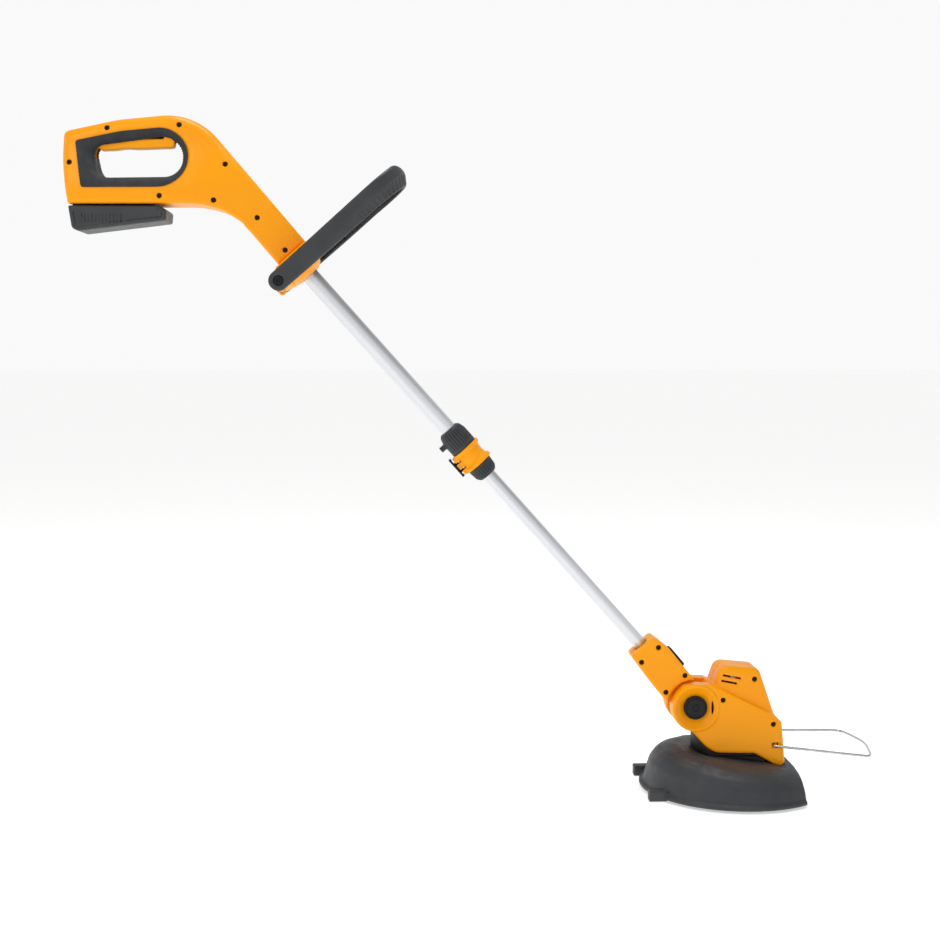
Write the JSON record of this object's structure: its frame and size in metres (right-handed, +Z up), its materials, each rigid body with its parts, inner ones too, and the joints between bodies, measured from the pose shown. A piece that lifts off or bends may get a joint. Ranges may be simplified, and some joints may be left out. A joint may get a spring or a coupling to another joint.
{
  "type": "string trimmer",
  "caption": "Cordless string trimmer with a D-shaped rear grip, loop front handle, telescopic two-part shaft, tilting motor head, domed guard and folding wire plant guard.",
  "frame": {"origin": "middle of the rear grip's top bar", "axes": "+X forward to the cutting head, +Y to the operator's left, +Z up, guard rim level"},
  "size_m": [1.0412, 0.25, 0.8752],
  "materials": {
    "yellow_plastic": "satin moulded plastic, deep yellow",
    "dark_plastic": "fine grained moulded plastic, dark grey",
    "soft_grip": "soft over-moulded grip, matte",
    "black_plastic": "matte black plastic",
    "cable_sheath": "rubber sheath",
    "screw_steel": "blackened steel",
    "tube_aluminium": "drawn and anodised, satin",
    "bright_steel": "bright drawn steel",
    "contact_brass": "bright",
    "circuit_board": "lacquered board",
    "nylon_line": "extruded nylon"
  },
  "bodies": {
    "handle_unit": {"rear_shell_right": "yellow_plastic", "rear_shell_left": "yellow_plastic", "grip_lining_right": "soft_grip", "grip_lining_left": "soft_grip", "trigger_pin": "bright_steel", "trigger_spring": "bright_steel", "micro_switch": "black_plastic", "control_board": "circuit_board", "battery_terminals": "contact_brass", "rear_screw_1": "screw_steel", "rear_screw_2": "screw_steel", "rear_screw_3": "screw_steel", "rear_screw_4": "screw_steel", "rear_screw_5": "screw_steel", "rear_screw_6": "screw_steel", "rear_screw_7": "screw_steel", "rear_screw_8": "screw_steel", "upper_tube": "tube_aluminium", "handle_bracket": "yellow_plastic", "handle_bolt": "screw_steel", "handle_nut": "bright_steel", "upper_collar": "black_plastic"},
    "trigger": {"trigger": "yellow_plastic"},
    "lock_off_button": {"lock_off_button": "black_plastic"},
    "battery": {"battery_pack": "dark_plastic"},
    "battery_release": {"battery_release": "black_plastic"},
    "loop_handle": {"loop_handle": "dark_plastic"},
    "coupler": {"coupler_sleeve": "yellow_plastic", "lever_pin": "bright_steel", "collet": "black_plastic"},
    "release_lever": {"release_lever": "black_plastic"},
    "lock_nut": {"lock_nut": "black_plastic"},
    "lower_shaft": {"lower_tube": "tube_aluminium", "coiled_lead": "cable_sheath", "neck_shell_right": "yellow_plastic", "neck_shell_left": "yellow_plastic", "neck_screw_1": "screw_steel", "neck_screw_2": "screw_steel", "neck_screw_3": "screw_steel", "neck_screw_4": "screw_steel", "pivot_pin": "bright_steel"},
    "tilt_button": {"tilt_button": "black_plastic"},
    "head": {"motor_shell_right": "yellow_plastic", "motor_shell_left": "yellow_plastic", "head_screw_1": "screw_steel", "head_screw_2": "screw_steel", "head_screw_3": "screw_steel", "pivot_cap_right": "black_plastic", "pivot_cap_left": "black_plastic", "motor": "bright_steel", "motor_base": "black_plastic", "guard": "dark_plastic", "line_cutter_blade": "bright_steel"},
    "wire_guard": {"wire_guard": "bright_steel"},
    "spool": {"motor_spindle": "bright_steel", "spool_housing": "black_plastic", "spool": "dark_plastic", "cutting_line": "nylon_line", "spool_spring": "bright_steel"},
    "bump_knob": {"bump_knob": "black_plastic"}
  },
  "joints": [
    {"name": "trigger_squeeze", "type": "hinge", "parent": "handle_unit", "child": "trigger", "pos_m": [0.046, 0, -0.0045], "axis": [0, 1, 0], "range_deg": [0, 5], "stiffness_Nm_per_rad": 0.6, "springref_deg": -8.59},
    {"name": "lock_off_press", "type": "slide", "parent": "handle_unit", "child": "lock_off_button", "axis": [0, -1, 0], "range_m": [0, 0.002], "stiffness_N_per_m": 400, "springref_m": -0.002},
    {"name": "battery_slide", "type": "slide", "parent": "handle_unit", "child": "battery", "axis": [-1, 0, 0], "range_m": [0, 0.11]},
    {"name": "battery_release_press", "type": "slide", "parent": "battery", "child": "battery_release", "axis": [1, 0, 0], "range_m": [0, 0.003], "stiffness_N_per_m": 400, "springref_m": -0.002},
    {"name": "loop_handle_swing", "type": "hinge", "parent": "handle_unit", "child": "loop_handle", "pos_m": [0.18032, 0, -0.19229], "axis": [0, 1, 0], "range_deg": [-40, 40]},
    {"name": "shaft_turn", "type": "hinge", "parent": "handle_unit", "child": "coupler", "pos_m": [0.42453, 0, -0.41536], "axis": [0.6651, 0, -0.7468], "range_deg": [0, 180]},
    {"name": "lever_press", "type": "hinge", "parent": "coupler", "child": "release_lever", "pos_m": [0.40944, 0, -0.42894], "axis": [0, 1, 0], "range_deg": [0, 7], "stiffness_Nm_per_rad": 0.3, "springref_deg": -8.59},
    {"name": "lock_nut_turn", "type": "hinge", "parent": "coupler", "child": "lock_nut", "pos_m": [0.44116, 0, -0.43403], "axis": [0.6651, 0, -0.7468], "range_deg": [0, 90]},
    {"name": "tube_slide", "type": "slide", "parent": "coupler", "child": "lower_shaft", "axis": [0.6651, 0, -0.7468], "range_m": [-0.2, 0]},
    {"name": "tilt_button_press", "type": "slide", "parent": "lower_shaft", "child": "tilt_button", "axis": [-0.7468, 0, -0.6651], "range_m": [0, 0.003], "stiffness_N_per_m": 500, "springref_m": -0.002},
    {"name": "head_tilt", "type": "hinge", "parent": "lower_shaft", "child": "head", "pos_m": [0.71664, 0, -0.74575], "axis": [0, 1, 0], "range_deg": [-20, 45]},
    {"name": "wire_guard_fold", "type": "hinge", "parent": "head", "child": "wire_guard", "pos_m": [0.8195, 0, -0.7955], "axis": [0, 1, 0], "range_deg": [-100, 0]},
    {"name": "spool_spin", "type": "hinge", "parent": "head", "child": "spool", "pos_m": [0.7747, 0, -0.8565], "axis": [0, 0, 1], "continuous": true},
    {"name": "bump_knob_press", "type": "slide", "parent": "spool", "child": "bump_knob", "axis": [0, 0, 1], "range_m": [0, 0.003], "stiffness_N_per_m": 900, "springref_m": -0.002, "deforming": ["spool_spring"]}
  ]
}
